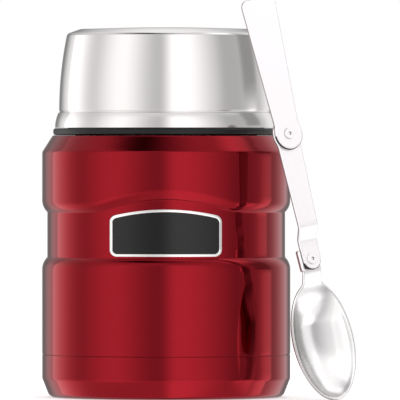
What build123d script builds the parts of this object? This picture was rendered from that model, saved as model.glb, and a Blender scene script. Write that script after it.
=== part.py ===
from build123d import *
import math
import os

# A double-walled steel food jar with a screw-in insulating stopper, a screw-on cup lid and a spoon in
# three riveted sections. Millimetres, +Z up. The origin is the centre of the ring that the jar stands
# on, the badge faces -Y, and the spoon stands open on its tip to the right of the badge.

# ---- Red outer shell ----
jar_radius = 47.0  # outside of the two broad bands
outer_sheet = 0.6  # drawn sheet of the outer shell
waist_depth = 1.97  # how far the waist lies inside the bands
band_edge_radius = 6.36  # rounding of a band's edge towards the waist
band_edge_proud = 0.03  # what that rounding would stand proud of the band, which trims it
lower_band_top = 48.3  # height at which the lower band starts to round in
upper_band_bottom = 74.5  # height at which the upper band starts to round in
shoulder_z = 92.7  # top of the upper band
shoulder_height = 6.3  # rise of the sloped shoulder up to its ledge
shoulder_round = 2.0
arch_rise = 5.1  # how far the waist climbs into the upper band above the badge, before blending
arch_radius = 62.0  # radius of the arch's crown, seen from the front
arch_blend = 1.2  # softness of the arch's run-out into the level edge
arch_sink = 0.35  # how far the run-out ends below the level edge
arch_half_angle = 44.0  # where the arch has fully run out, each side of the badge
arch_sections = 15
cut_margin = 1.0  # how far a cutting shape reaches past what it cuts

# ---- Base cup, pressed over the shell's lower end ----
base_height = 15.9
seam_gap = 0.2  # open groove between the base cup's rim and the shell
press_gap = 0.1  # radial room between pieces pressed into each other
seam_edge_round = 0.25
tuck_round = 0.1
foot_recess = 2.2  # depth of the hollow inside the foot ring
foot_ring_width = 6.0  # from the foot's outer corner in to its hollow
foot_recess_slope = 54.0  # degrees from level
flare_width = 2.8  # how far the foot's outer corner stands in from the bands
flare_height = 7.0
recess_round = 0.8
foot_inner_round = 1.2
foot_round = 2.5
flare_round = 3.0
tuck_bottom = 9.2  # lower end of the shell's necked-in skirt

# ---- Inner vessel and vacuum space ----
inner_sheet = 0.5
vacuum_gap = 2.9  # between the walls at the waist
inner_floor_z = 14.4
inner_floor_round = 8.0
inner_seam_z = 24.0  # circular weld between the floor cup and the wall
inner_shoulder_height = 8.0
inner_shoulder_round = 4.0
neck_vacuum_gap = 0.3
lip_round = 1.0
weld_gap = 0.05
bore_below_gasket = 0.5  # how far the smooth bore runs on below the gasket
foil_thickness = 0.15
foil_gap = 0.1
foil_end_gap = 2.0
closing_plate_drop = 3.8  # closing plate's top face below the inner floor
dimple_radius = 8.0
dimple_flat_radius = 3.5
dimple_height = 1.2
dimple_round = 0.8
plate_round = 1.2
evacuation_hole_radius = 1.0
seal_bead_radius = 2.6
seal_bead_height = 1.1
getter_radius = 3.5
getter_thickness = 1.7
getter_offset = 20.0
bracket_sheet = 0.3
bracket_width = 3.0
bracket_tab = 3.0
bracket_room = 0.1

# ---- Neck ----
neck_inset = 12.6  # how far the neck stands in from the bands
neck_height = 13.0  # ledge to lip
collar_seat = 1.2  # how far the neck's collar reaches below the ledge's face
thread_room = 1.4  # radial room for a pair of mating threads

# ---- Stopper ----
skirt_wall = 1.2
flange_thickness = 2.3
flange_lift = 0.4  # flange above the shoulder's ledge
flange_overhang = 0.7  # flange beyond the cup's rim
flange_round = 0.9
seat_gap = 0.05
deck_thickness = 2.0
tray_wall_inset = 1.5  # tray's rim inside the skirt
tray_depth = 7.0
tray_floor = 2.0
tray_lift = 1.0  # tray's floor above the deck
tray_length = 64.0
tray_width = 30.0
tray_rim_round = 1.0
moulding_wall = 1.5
moulding_round = 0.6
plug_clearance = 0.6
plug_depth = 11.4  # lip to the gasket's upper shoulder
gasket_height = 3.3
gasket_thickness = 1.4
gasket_lip_clearance = 0.1
gasket_lip_height = 0.45  # how far the two lips stand out
plug_base_thickness = 1.8
plug_base_upstand = 2.0
plug_base_round = 0.8
upstand_round = 0.3
foam_gap = 0.2

# ---- Cup ----
liner_wall = 1.55
liner_clearance = 0.1
liner_slack = 0.3  # extra room at the end of the liner's wall
liner_rim_round = 0.4
liner_corner_round = 1.0
liner_inner_round = 2.0
cup_sheet = 0.5
cup_rim_gap = 0.2  # cup's rim above the stopper's flange
cup_height = 37.8
bead_flare = 1.55  # rim bead beyond the cup's wall
bead_height = 5.5
groove_depth = 0.4
groove_width = 1.0
cup_taper_radius = 140.0  # profile radius of the wall, which leans in as it rises
bevel_height = 3.3
bevel_width = 5.0
cup_corner_round = 0.8
crown_rise = 0.5  # how far the cup's end bulges at its centre
crown_round = 1.5
crown_radius = 200.0

# ---- Badge ----
badge_width = 42.0
badge_height = 17.8
badge_bottom_gap = 0.6  # badge above the waist's lower crease
badge_crown = 2.6  # rise of the badge's arched top edge
badge_corner = 2.6
badge_corner_reach = 3.25  # margin at which a corner's rounding would reach nothing
badge_border = 1.1
badge_plate = 0.55
badge_border_height = 0.3  # border proud of the field
badge_tape = 0.2
tape_margin = 1.2
badge_fit = 0.04

# ---- Folding spoon ----
strip = 1.2  # sheet of the handle, link and neck
spoon_layer_gap = 0.05
handle_length = 52.0  # upper rivet to the handle's end
handle_width = 15.4
handle_root_width = 10.4  # handle's strip at the upper rivet
handle_corner = 3.0
handle_joint_radius = 6.1
link_length = 47.4  # rivet to rivet
link_root_width = 10.4  # link's strip at the upper rivet
link_upper_radius = 6.2
link_lower_radius = 4.1
joint_blend = 8.0  # hollow between a strip's side and its round joint
joggle_depth = 2.9
joggle_start = 12.0  # from the lower rivet to the joggle's upper bend
joggle_run = 4.4
joggle_round = 2.0
neck_width = 8.4
neck_joint_radius = 4.1
neck_length = 8.0  # lower rivet to the bowl's heel
neck_drop = 3.0  # bowl's rim behind the neck's face
neck_bend_start = 4.5
neck_bend_past = 2.0  # how far the neck's bend runs on past the bowl's heel
neck_overlap = 3.0  # how far the neck's strip runs on past the bend, to be trimmed by the bowl
bowl_length = 45.5
bowl_width = 27.0
bowl_depth = 7.0
bowl_wall = 1.0
bowl_overshoot = 2.5  # rim plane to the centre of the ellipsoid that the bowl is part of
rivet_radius = 1.35
rivet_fit = 0.06
rivet_head_radius = 2.1
rivet_head_height = 0.6
rivet_head_round = 0.36
rivet_dimple_radius = 0.6
rivet_dimple_depth = 0.3
shank_play = 0.1  # how far a rivet's shank runs on into its heads
head_gap = 0.02
tab_clearance = 0.35
tab_length = 8.0
tab_proud = 0.4  # stop tab in front of the link's face
spoon_edge_round = 0.25
spoon_clearance = 15.4  # upper rivet outside the jar's bands
spoon_bearing = -42.3  # direction of the upper rivet from the jar's axis, from +X
spoon_yaw = 32.0  # the spoon's face turned to the right of the badge's direction
spoon_tilt = 10.0  # the handle leans back towards the jar
spoon_roll = 9.2  # the handle leans left in the spoon's own plane

# ---- Sizes that follow ----
waist_radius = jar_radius - waist_depth
tuck_radius = jar_radius - outer_sheet - press_gap
seam_z = base_height + seam_gap
ledge_z = shoulder_z + shoulder_height
lip_z = ledge_z + neck_height

neck_radius = jar_radius - neck_inset
bore_radius = neck_radius - outer_sheet - neck_vacuum_gap - inner_sheet
skirt_inner = neck_radius + thread_room
skirt_outer = skirt_inner + skirt_wall
cup_bore = skirt_outer + thread_room
cup_wall_radius = cup_bore + liner_wall + liner_clearance + cup_sheet
bead_radius = cup_wall_radius + bead_flare
flange_radius = bead_radius + flange_overhang
ledge_radius = flange_radius + seam_gap

vessel_radius = waist_radius - outer_sheet - vacuum_gap  # outside of the inner vessel
vessel_bore = vessel_radius - inner_sheet
plate_top = inner_floor_z - closing_plate_drop

flange_z = ledge_z + flange_lift
flange_top = flange_z + flange_thickness
deck_z = lip_z + seat_gap
tray_floor_z = deck_z + deck_thickness + tray_lift
tray_top = tray_floor_z + tray_depth
tray_rim_radius = skirt_outer - tray_wall_inset
plug_radius = bore_radius - plug_clearance
gasket_top = lip_z - plug_depth
gasket_bottom = gasket_top - gasket_height
gasket_inner = plug_radius - gasket_thickness
cavity_radius = gasket_inner - moulding_wall

cup_rim_z = flange_top + cup_rim_gap
cup_top = cup_rim_z + cup_height

waist_crease = math.sqrt(2 * band_edge_radius * waist_depth - waist_depth**2)
badge_bottom = lower_band_top + waist_crease + badge_bottom_gap
spoon_link_face = -strip - spoon_layer_gap
spoon_link_low_face = spoon_link_face - joggle_depth
spoon_neck_face = spoon_link_low_face - strip - spoon_layer_gap
spoon_rim_face = spoon_neck_face - neck_drop
bowl_heel = -link_length - neck_length
bowl_tip = bowl_heel - bowl_length


# ---- Shared shapes ----
def turned(points, radii):
    """Solid of revolution about the jar's axis from a closed outline of (radius, height) corners."""
    outline = FilletPolyline(*points, radius=radii, close=True)
    return revolve(Plane.XZ * make_face(outline), Axis.Z)


def drawn(points, radii, sheet, side):
    """Turned sheet of constant thickness: a line of (radius, height) corners thickened to one side."""
    line = FilletPolyline(*points, radius=radii)
    band = offset(line, sheet, side=side)
    return revolve(Plane.XZ * make_face(band.edges()), Axis.Z)


def ring(inner, outer, bottom, top):
    """Plain ring, or a disc where inner is 0."""
    body = Pos(Z=bottom) * Cylinder(outer, top - bottom, align=(Align.CENTER, Align.CENTER, Align.MIN))
    if inner > 0:
        body -= Pos(Z=bottom) * Cylinder(inner, top - bottom, align=(Align.CENTER, Align.CENTER, Align.MIN))
    return body


def patch(x, y):
    """Flat rectangle between two (low, high) pairs."""
    return Pos(sum(x) / 2, sum(y) / 2) * Rectangle(x[1] - x[0], y[1] - y[0])


def block(x, y, z):
    """Box between three (low, high) pairs."""
    return Pos(Z=z[0]) * extrude(patch(x, y), z[1] - z[0])


# ---- Red shell ----
def arch_lift(angle):
    """Height that the waist's upper edge gains at an angle from the badge: a crown of arch_radius in
    front view that runs out softly, and ends just below the level edge."""
    across = waist_radius * math.sin(math.radians(angle))
    height = arch_rise - across**2 / (2 * arch_radius)
    return (height + math.hypot(height, arch_blend)) / 2 - arch_sink


def band_edge(level, side, inset):
    """Rounded edge of a band: from inside the waist's surface out to where it stands upright. It leans
    away from its level by side, which is 1 above a band and -1 below one."""
    radius = band_edge_radius - inset
    out = jar_radius - inset + band_edge_proud
    reach = waist_depth + cut_margin
    start = (out - reach, level + side * math.sqrt(2 * radius * reach - reach**2))
    return TangentArc((out, level), start, tangent=(0, side)), start


def waist_face(inset):
    """Half section of the level waist, as it is cut from the shell."""
    low_edge, low_start = band_edge(lower_band_top, 1, inset)
    high_edge, high_start = band_edge(upper_band_bottom, -1, inset)
    outside = jar_radius + cut_margin
    rest = [
        Polyline(low_edge @ 0, (outside, lower_band_top), (outside, upper_band_bottom), high_edge @ 0),
        Line(high_start, low_start),
    ]
    return Plane.XZ * make_face([low_edge, high_edge, *rest])


def arch_face(lift, inset):
    """Half section of the space under the arched edge, down to the middle of the waist."""
    level = upper_band_bottom + lift
    edge, start = band_edge(level, -1, inset)
    middle = (lower_band_top + upper_band_bottom) / 2
    outside = jar_radius + cut_margin
    rest = Polyline(edge @ 0, (outside, level), (outside, middle), (start[0], middle), start)
    return Plane.XZ * make_face([edge, rest])


def sink_waist(body, inset):
    """Takes the waist out of a body: level all round, and arched above the badge."""
    core = ring(0, waist_radius - inset, lower_band_top - cut_margin, upper_band_bottom + 2 * arch_rise)
    level = revolve(waist_face(inset), Axis.Z)
    step = 2 * arch_half_angle / (arch_sections - 1)
    angles = [step * i - arch_half_angle for i in range(arch_sections)]
    arch = loft([Rot(Z=a - 90) * arch_face(arch_lift(a), inset) for a in angles])
    return body - (level - core) - (arch - core)


def outer_wall():
    """Red shell: necked-in skirt for the base cup, lower band, arched waist, upper band, sloped
    shoulder and ledge, all one drawn sheet."""
    points = [
        (tuck_radius, tuck_bottom),
        (tuck_radius, seam_z),
        (jar_radius, seam_z),
        (jar_radius, shoulder_z),
        (ledge_radius, ledge_z),
        (neck_radius + weld_gap, ledge_z),
    ]
    radii = [tuck_round, seam_edge_round, shoulder_round, shoulder_round / 2]
    sheet = drawn(points, radii, outer_sheet, Side.LEFT)
    filled = turned([(0, tuck_bottom), *points[:-1], (0, ledge_z)], [0, 0, *radii, 0])
    return sink_waist(filled, 0) - sink_waist(filled - sheet, outer_sheet)


def outer_neck():
    """Bare steel collar that carries the stopper's thread, welded into the ledge and under the lip."""
    top = lip_z - inner_sheet - weld_gap
    return ring(neck_radius - outer_sheet, neck_radius, ledge_z - collar_seat, top)


def base_cup():
    """Drawn cup pressed over the shell's skirt, with a flared foot and a hollow bottom."""
    recess_run = foot_recess / math.tan(math.radians(foot_recess_slope))
    ring_inner = jar_radius - flare_width - foot_ring_width
    points = [
        (0, foot_recess),
        (ring_inner - recess_run, foot_recess),
        (ring_inner, 0),
        (jar_radius - flare_width, 0),
        (jar_radius, flare_height),
        (jar_radius, base_height),
    ]
    return drawn(points, [recess_round, foot_inner_round, foot_round, flare_round], outer_sheet, Side.LEFT)


# ---- Inner vessel ----
def inner_wall():
    """Liner's wall: straight tube, shoulder, smooth bore for the gasket, and a lip that closes the
    outer neck."""
    bore_start = gasket_bottom - bore_below_gasket
    points = [
        (vessel_bore, inner_seam_z),
        (vessel_bore, bore_start - inner_shoulder_height),
        (bore_radius, bore_start),
        (bore_radius, lip_z),
        (neck_radius, lip_z),
    ]
    round_off = inner_shoulder_round
    return drawn(points, [round_off, round_off, lip_round], inner_sheet, Side.RIGHT)


def inner_bottom():
    """Liner's round-cornered floor cup."""
    points = [(0, inner_floor_z), (vessel_bore, inner_floor_z), (vessel_bore, inner_seam_z - weld_gap)]
    return drawn(points, [inner_floor_round], inner_sheet, Side.RIGHT)


def foil_shield():
    """Metal foil wrapped round the liner against radiant heat."""
    inner = vessel_radius + foil_gap
    top = gasket_bottom - inner_shoulder_height - foil_end_gap
    return ring(inner, inner + foil_thickness, inner_seam_z + foil_end_gap, top)


def vacuum_bottom():
    """Closing plate of the vacuum space, with its evacuation dimple and turned-down rim."""
    rim = tuck_radius - outer_sheet - press_gap
    points = [
        (evacuation_hole_radius, plate_top + dimple_height),
        (dimple_flat_radius, plate_top + dimple_height),
        (dimple_radius, plate_top),
        (rim, plate_top),
        (rim, tuck_bottom),
    ]
    return drawn(points, [dimple_round, dimple_round, plate_round], outer_sheet, Side.RIGHT)


def seal_plug():
    """Bead that closes the evacuation hole from below."""
    bead_top = plate_top + dimple_height - outer_sheet - weld_gap
    bead_low = bead_top - seal_bead_height
    bead = ring(0, seal_bead_radius, bead_low, bead_top)
    return bead + ring(0, evacuation_hole_radius - press_gap, bead_low, bead_top + outer_sheet)


def bracket_levels():
    """Heights of the getter bracket: its weld tabs' top, and the top of its cradle."""
    tab_top = inner_floor_z - inner_sheet - weld_gap
    cradle_top = tab_top - getter_thickness - 2 * bracket_room
    return tab_top, cradle_top


def getter_bracket():
    """Strip cradle spot-welded under the liner's floor."""
    tab_top, cradle_top = bracket_levels()
    half = getter_radius + bracket_room + bracket_sheet
    width = (-bracket_width / 2, bracket_width / 2)
    low = cradle_top - bracket_sheet
    cradle = block((-half, half), width, (low, cradle_top))
    for side in (-1, 1):
        leg = sorted((side * half, side * (half - bracket_sheet)))
        tab = sorted((side * half, side * (half + bracket_tab)))
        cradle += block(leg, width, (low, tab_top))
        cradle += block(tab, width, (tab_top - bracket_sheet, tab_top))
    return Pos(X=getter_offset) * cradle


def getter():
    """Pressed tablet that takes up the last gas in the vacuum space."""
    cradle_top = bracket_levels()[1]
    tablet = ring(0, getter_radius, cradle_top + weld_gap, cradle_top + weld_gap + getter_thickness)
    return Pos(X=getter_offset) * tablet


# ---- Stopper ----
def tray_outline():
    """Racetrack recess for the folded spoon."""
    return SlotOverall(tray_length, tray_width)


def stopper_body():
    """Black moulding: threaded skirt over the neck, wide flange, deck on the lip, hollow plug, and a
    raised spoon tray with a pocket cored out at each side of it."""
    core_top = tray_floor_z - tray_floor
    points = [
        (cavity_radius, gasket_bottom),
        (gasket_inner - weld_gap, gasket_bottom),
        (gasket_inner - weld_gap, gasket_top),
        (plug_radius, gasket_top),
        (plug_radius, deck_z),
        (skirt_inner, deck_z),
        (skirt_inner, flange_z),
        (flange_radius, flange_z),
        (flange_radius, flange_top),
        (skirt_outer, flange_top),
        (skirt_outer, deck_z + deck_thickness),
        (tray_rim_radius, deck_z + deck_thickness + tray_wall_inset),
        (tray_rim_radius, tray_top),
        (0, tray_top),
        (0, core_top),
        (cavity_radius, core_top),
    ]
    rim_rounds = [flange_round] * 2 + [moulding_round] * 3 + [tray_rim_round]
    radii = [0] * 7 + rim_rounds + [0] * 3
    body = turned(points, radii)
    body -= Pos(Z=tray_floor_z) * extrude(tray_outline(), tray_depth + cut_margin)
    wall = tray_width / 2 + moulding_wall
    core = ring(0, cavity_radius, core_top - cut_margin, tray_top - moulding_wall)
    return body - (core - block((-jar_radius, jar_radius), (-wall, wall), (core_top - cut_margin, tray_top)))


def stopper_base():
    """Cover welded under the plug; it also holds the gasket in its groove."""
    low = gasket_bottom - plug_base_thickness
    upstand = cavity_radius - press_gap
    points = [
        (0, low),
        (plug_radius, low),
        (plug_radius, gasket_bottom - weld_gap),
        (upstand, gasket_bottom - weld_gap),
        (upstand, gasket_bottom + plug_base_upstand),
        (upstand - moulding_wall, gasket_bottom + plug_base_upstand),
        (upstand - moulding_wall, gasket_bottom - weld_gap),
        (0, gasket_bottom - weld_gap),
    ]
    return turned(points, [0, plug_base_round, 0, 0, upstand_round, upstand_round, 0, 0])


def stopper_foam():
    """Foam disc that fills the plug."""
    top = tray_floor_z - tray_floor - weld_gap
    return ring(0, cavity_radius - moulding_wall - foam_gap, gasket_bottom, top)


def stopper_gasket():
    """Silicone ring with two sealing lips that wipe the bore."""
    lip = bore_radius - gasket_lip_clearance
    body = lip - gasket_lip_height
    low, high = gasket_bottom, gasket_top - weld_gap
    middle = (low + high) / 2
    flank = (high - low) / 6
    land = (high - low) / 15
    points = [(gasket_inner, low), (body, low)]
    for foot in (low, middle + land):
        tip = foot + flank
        points += [(body, foot), (lip, tip), (lip, tip + land), (body, tip + land + flank)]
    points = points[:1] + points[2:] + [(body, high), (gasket_inner, high)]
    return turned(points, [0] * len(points))


# ---- Cup ----
def cup_wall_at(height):
    """Outer radius of the cup's wall, which follows an arc that stands upright at the bead."""
    rise = height - (cup_rim_z + bead_height + groove_width)
    return cup_wall_radius - rise**2 / (2 * cup_taper_radius)


def cup_shell():
    """Steel outside of the cup: rolled rim bead, groove, leaning wall, bevel and faintly crowned end."""
    wall_start = cup_rim_z + bead_height + groove_width
    wall_end = cup_top - crown_rise - bevel_height
    end_radius = cup_wall_at(wall_end)
    bead_neck = cup_wall_radius + groove_depth
    inward = math.asin((wall_end - wall_start) / cup_taper_radius)
    crown_edge = end_radius - bevel_width
    outside = [
        TangentArc((bead_radius, cup_rim_z), (bead_neck, cup_rim_z + bead_height), tangent=(0, 1)),
        Polyline(
            (bead_neck, cup_rim_z + bead_height),
            (cup_wall_radius - groove_depth, cup_rim_z + bead_height + groove_width / 2),
            (cup_wall_radius, wall_start),
        ),
        TangentArc((cup_wall_radius, wall_start), (end_radius, wall_end), tangent=(0, 1)),
    ]
    top = FilletPolyline(
        (end_radius, wall_end),
        (end_radius - cup_corner_round * math.tan(inward / 2 + 0.4), wall_end + cup_corner_round),
        (crown_edge, cup_top - crown_rise),
        (crown_edge / 2, cup_top),
        (0, cup_top),
        radius=[cup_corner_round, crown_round, crown_radius],
    )
    band = offset(Wire(Curve() + outside + [top]), cup_sheet, side=Side.LEFT)
    return revolve(Plane.XZ * make_face(band.edges()), Axis.Z)


def cup_liner():
    """Black liner of the cup: straight threaded part that fits over the stopper, then a wall and end
    that follow the steel."""
    gap = cup_sheet + liner_clearance
    wall_start = cup_rim_z + bead_height + groove_width
    wall_end = cup_top - crown_rise - bevel_height
    middle = (wall_start + wall_end) / 2
    outer_low = cup_wall_radius - groove_depth - gap
    slope_end = cup_wall_at(wall_end) - gap
    end_z = cup_top - crown_rise - gap
    crown_edge = cup_wall_at(wall_end) - bevel_width - gap / 2
    points = [
        (cup_bore, cup_rim_z),
        (outer_low, cup_rim_z),
        (outer_low, wall_start),
        (cup_wall_at(middle) - gap, middle),
        (slope_end - liner_slack, wall_end - liner_slack),
        (crown_edge, end_z - liner_clearance),
        (0, end_z),
        (0, end_z - liner_wall),
        (crown_edge - liner_wall / 2, end_z - liner_wall),
        (slope_end - liner_wall - liner_slack, wall_end - liner_wall / 2 - liner_slack),
        (cup_bore, tray_floor_z),
    ]
    corner = liner_corner_round
    return turned(points, [0, liner_rim_round, 0, 0, corner, corner, 0, 0, corner, liner_inner_round, 0])


# ---- Badge ----
def badge_outline(margin):
    """Badge seen from the front, moved in by a margin: straight sides, rounded corners, arched top."""
    half = badge_width / 2 - margin
    low = badge_bottom + margin
    high = badge_bottom + badge_height - margin
    edges = [
        Polyline((-half, high - badge_crown), (-half, low), (half, low), (half, high - badge_crown)),
        ThreePointArc((half, high - badge_crown), (0, high), (-half, high - badge_crown)),
    ]
    face = make_face(edges)
    return fillet(face.vertices(), badge_corner * (1 - margin / badge_corner_reach))


def badge_layer(outline, inner, outer):
    """Badge-shaped piece of a ring between two radii, at the front of the waist."""
    low, high = lower_band_top, upper_band_bottom + arch_rise
    through = extrude(Plane.XZ * outline, jar_radius + cut_margin)
    return through & ring(inner, outer, low, high)


def badge_stack():
    """Radii at the back of the tape, the back of the plate, the field's face and the border's face."""
    back = waist_radius + badge_fit
    plate = back + badge_tape
    field = plate + badge_fit + badge_plate
    return back, plate, field, field + badge_border_height


def badge_adhesive():
    """Tape that holds the badge on the waist."""
    back, plate, _, _ = badge_stack()
    return badge_layer(badge_outline(tape_margin), back, plate)


def badge_rim():
    """Bright raised border."""
    _, plate, _, face = badge_stack()
    outline = badge_outline(0) - badge_outline(badge_border)
    return badge_layer(outline, plate + badge_fit, face)


def badge_inlay():
    """Plain dark field."""
    _, plate, field, _ = badge_stack()
    return badge_layer(badge_outline(badge_border + badge_fit), plate + badge_fit, field)


# ---- Spoon, each section in the spoon's own axes: X across, Y along towards the handle's end and Z out
# of its face. The upper rivet stands at the origin, with the handle's face at Z = 0. ----
def spoon_place(lift):
    """Where the spoon's own axes stand beside the jar, with the upper rivet at the given height."""
    distance = jar_radius + spoon_clearance
    x = distance * math.cos(math.radians(spoon_bearing))
    y = distance * math.sin(math.radians(spoon_bearing))
    upright = Plane(origin=(0, 0, 0), x_dir=(1, 0, 0), z_dir=(0, -1, 0)).location
    return Pos(x, y, lift) * Rot(Z=spoon_yaw) * upright * Rot(X=-spoon_tilt) * Rot(Z=spoon_roll)


def lower_joint(shape):
    """Moves a shape from the upper rivet's axes to the lower rivet's."""
    return Pos(Y=-link_length) * shape


def rivet_hole(radius, low, high):
    """Hole for a rivet's shank, through a strip between two levels."""
    return ring(0, radius, low - cut_margin, high + cut_margin)


def hull_of(discs):
    """Outline that a belt stretched round some discs would take."""
    return make_hull([edge for disc in discs for edge in disc.edges()])


def eared(strip_outline, radius):
    """Strip with a round joint about the upper rivet, wider than the strip and blended into it."""
    outline = strip_outline + Circle(radius)
    inside_corners = [v for v in outline.vertices() if 0 < abs(v.Y) < radius and abs(v.X) < radius]
    return fillet(inside_corners, joint_blend)


def spoon_handle():
    """Flat handle, widest at its end."""
    across = handle_width / 2 - handle_corner
    along = handle_length - handle_corner
    corners = [Pos(side * across, along) * Circle(handle_corner) for side in (-1, 1)]
    outline = eared(hull_of([Circle(handle_root_width / 2), *corners]), handle_joint_radius)
    body = extrude(outline, -strip)
    flats = body.faces().filter_by(Axis.Z)
    body = fillet(flats.edges(), spoon_edge_round)
    return body - rivet_hole(rivet_radius + rivet_fit / 3, -strip, 0)


def joggled(points, radii, width):
    """Strip bent to a side profile of (along, out) corners on its front face, and as wide as asked."""
    line = FilletPolyline(*points, radius=radii)
    band = offset(line, strip, side=Side.RIGHT)
    profile = Plane.YZ * make_face(band.edges())
    return extrude(profile, width / 2, both=True)


def spoon_link():
    """Middle strip: behind the handle, then joggled back so that the bowl's neck folds behind it."""
    start = -link_length + joggle_start
    points = [
        (-link_length - link_lower_radius - cut_margin, spoon_link_low_face),
        (start - joggle_run, spoon_link_low_face),
        (start, spoon_link_face),
        (link_upper_radius + cut_margin, spoon_link_face),
    ]
    side = joggled(points, [joggle_round, joggle_round], handle_width * 2)
    ends = [Circle(link_root_width / 2), lower_joint(Circle(link_lower_radius))]
    outline = eared(hull_of(ends), link_upper_radius)
    plan = Pos(Z=spoon_link_low_face - 2 * strip) * extrude(outline, joggle_depth + 4 * strip)
    body = side & plan
    body -= rivet_hole(rivet_radius + rivet_fit, spoon_link_face - strip, spoon_link_face)
    hole = rivet_hole(rivet_radius + rivet_fit / 3, spoon_link_low_face - strip, spoon_link_low_face)
    return body - lower_joint(hole)


def bowl_part(shrink):
    """Half ellipsoid of the bowl's outside, or of its inside where shrink is the wall."""
    full_depth = bowl_depth + bowl_wall + bowl_overshoot
    share = math.sqrt(1 - (bowl_overshoot / full_depth) ** 2)
    axes = (bowl_width / 2 / share, bowl_length / 2 / share, full_depth)
    egg = scale(Sphere(1), by=tuple(a - shrink for a in axes))
    return Pos(0, (bowl_heel + bowl_tip) / 2, spoon_rim_face + bowl_overshoot) * egg


def spoon_bowl():
    """Pressed bowl and its neck, with a bent-up tab that stops on the link's edge."""
    bend_end = bowl_heel - neck_bend_past
    strip_end = bend_end - neck_overlap
    points = [
        (strip_end, spoon_rim_face),
        (bend_end, spoon_rim_face),
        (-link_length - neck_bend_start, spoon_neck_face),
        (-link_length + tab_length, spoon_neck_face),
    ]
    side = joggled(points, [joggle_round, joggle_round], handle_width * 2)
    neck = hull_of([lower_joint(Circle(neck_joint_radius)), Pos(0, strip_end) * Circle(neck_width / 2)])
    taper = math.asin((link_root_width / 2 - link_lower_radius) / link_length)
    lean = lower_joint(Rot(Z=math.degrees(taper)))
    inner = link_lower_radius + tab_clearance
    rows = (-tab_length / 2, tab_length / 2)
    outline = neck + lean * patch((-inner - strip, 0), rows)
    plan = Pos(Z=spoon_rim_face - 2 * strip) * extrude(outline, neck_drop + 4 * strip)
    front = spoon_link_low_face + tab_proud
    body = (side & plan) + lean * block((-inner - strip, -inner), rows, (spoon_neck_face - strip, front))
    hollow = bowl_part(bowl_wall)
    under_rim = block(
        (-bowl_width, bowl_width),
        (bowl_tip - cut_margin, bowl_heel + bowl_length / 2),
        (spoon_rim_face - 2 * bowl_depth, spoon_rim_face),
    )
    body = (body - hollow) + ((bowl_part(0) - hollow) & under_rim)
    hole = rivet_hole(rivet_radius + rivet_fit, spoon_neck_face - strip, spoon_neck_face)
    return body - lower_joint(hole)


def spoon_rivet(front):
    """Rivet through two strips whose front one has its face at the given level."""
    back = front - 2 * strip - spoon_layer_gap
    shank = ring(0, rivet_radius, back - shank_play, front + shank_play)
    head = ring(0, rivet_head_radius, front + head_gap, front + rivet_head_height)
    head = fillet(head.faces().sort_by(Axis.Z)[-1].edges(), rivet_head_round)
    dimple_floor = front + rivet_head_height - rivet_dimple_depth
    head -= ring(0, rivet_dimple_radius, dimple_floor, dimple_floor + cut_margin)
    tail = ring(0, rivet_head_radius, back - rivet_head_height, back - head_gap)
    tail = fillet(tail.faces().sort_by(Axis.Z)[0].edges(), rivet_head_round)
    return shank + head + tail


def place_spoon():
    """The five spoon pieces beside the jar, set so that the bowl's tip touches the resting plane."""
    sunk = spoon_place(0) * spoon_bowl()
    place = spoon_place(-sunk.bounding_box().min.Z)
    pieces = {
        "spoon_handle": spoon_handle(),
        "spoon_link": spoon_link(),
        "spoon_bowl": spoon_bowl(),
        "spoon_rivet_upper": spoon_rivet(0.0),
        "spoon_rivet_lower": lower_joint(spoon_rivet(spoon_link_low_face)),
    }
    lower = (place * Pos(Y=-link_length)).position
    print("upper rivet", tuple(place.position), "lower rivet", tuple(lower), "axis", tuple(Plane(place).z_dir))
    return {name: place * piece for name, piece in pieces.items()}


def main():
    os.makedirs("parts", exist_ok=True)
    makers = [
        outer_wall,
        outer_neck,
        base_cup,
        inner_wall,
        inner_bottom,
        foil_shield,
        vacuum_bottom,
        seal_plug,
        getter_bracket,
        getter,
        stopper_body,
        stopper_base,
        stopper_foam,
        stopper_gasket,
        cup_shell,
        cup_liner,
        badge_adhesive,
        badge_rim,
        badge_inlay,
    ]
    pieces = {make.__name__: make() for make in makers}
    pieces.update(place_spoon())
    for name, piece in pieces.items():
        export_step(piece, f"parts/{name}.step")


main()
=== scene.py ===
import math

import bmesh
import bpy
import numpy as np
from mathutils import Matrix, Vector


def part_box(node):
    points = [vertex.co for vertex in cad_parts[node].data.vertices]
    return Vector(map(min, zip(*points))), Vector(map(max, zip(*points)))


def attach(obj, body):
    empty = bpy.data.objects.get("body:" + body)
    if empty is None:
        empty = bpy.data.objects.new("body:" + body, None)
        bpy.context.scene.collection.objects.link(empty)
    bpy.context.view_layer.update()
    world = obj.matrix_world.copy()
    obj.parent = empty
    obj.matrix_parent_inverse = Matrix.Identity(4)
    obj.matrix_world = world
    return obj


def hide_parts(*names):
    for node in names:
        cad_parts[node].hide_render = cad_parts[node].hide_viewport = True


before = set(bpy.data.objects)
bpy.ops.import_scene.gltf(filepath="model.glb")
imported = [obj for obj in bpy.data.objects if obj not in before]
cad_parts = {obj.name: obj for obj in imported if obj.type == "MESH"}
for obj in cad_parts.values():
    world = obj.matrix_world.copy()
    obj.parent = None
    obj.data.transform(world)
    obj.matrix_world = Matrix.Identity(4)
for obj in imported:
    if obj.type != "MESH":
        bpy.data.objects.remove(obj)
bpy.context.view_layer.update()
mm = 0.001  # sizes of the pieces are written in millimetres
sharpFrom = math.radians(32)  # faces that meet at more than this keep a sharp edge between them
print("stage: frame loaded,", len(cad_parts), "nodes")


def smooth(share):  # from 0 to 1 with level ends
    return share * share * (3 - 2 * share)


def travelOf(path):  # distance along a path at each of its points
    return np.concatenate([[0], np.cumsum(np.linalg.norm(np.diff(path, axis=0), axis=1))])


def evenly(path, count):  # points at even distances along a path
    travel = travelOf(path)
    at = np.linspace(0, travel[-1], count)
    return np.stack([np.interp(at, travel, path[:, k]) for k in (0, 1)], 1)


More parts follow.
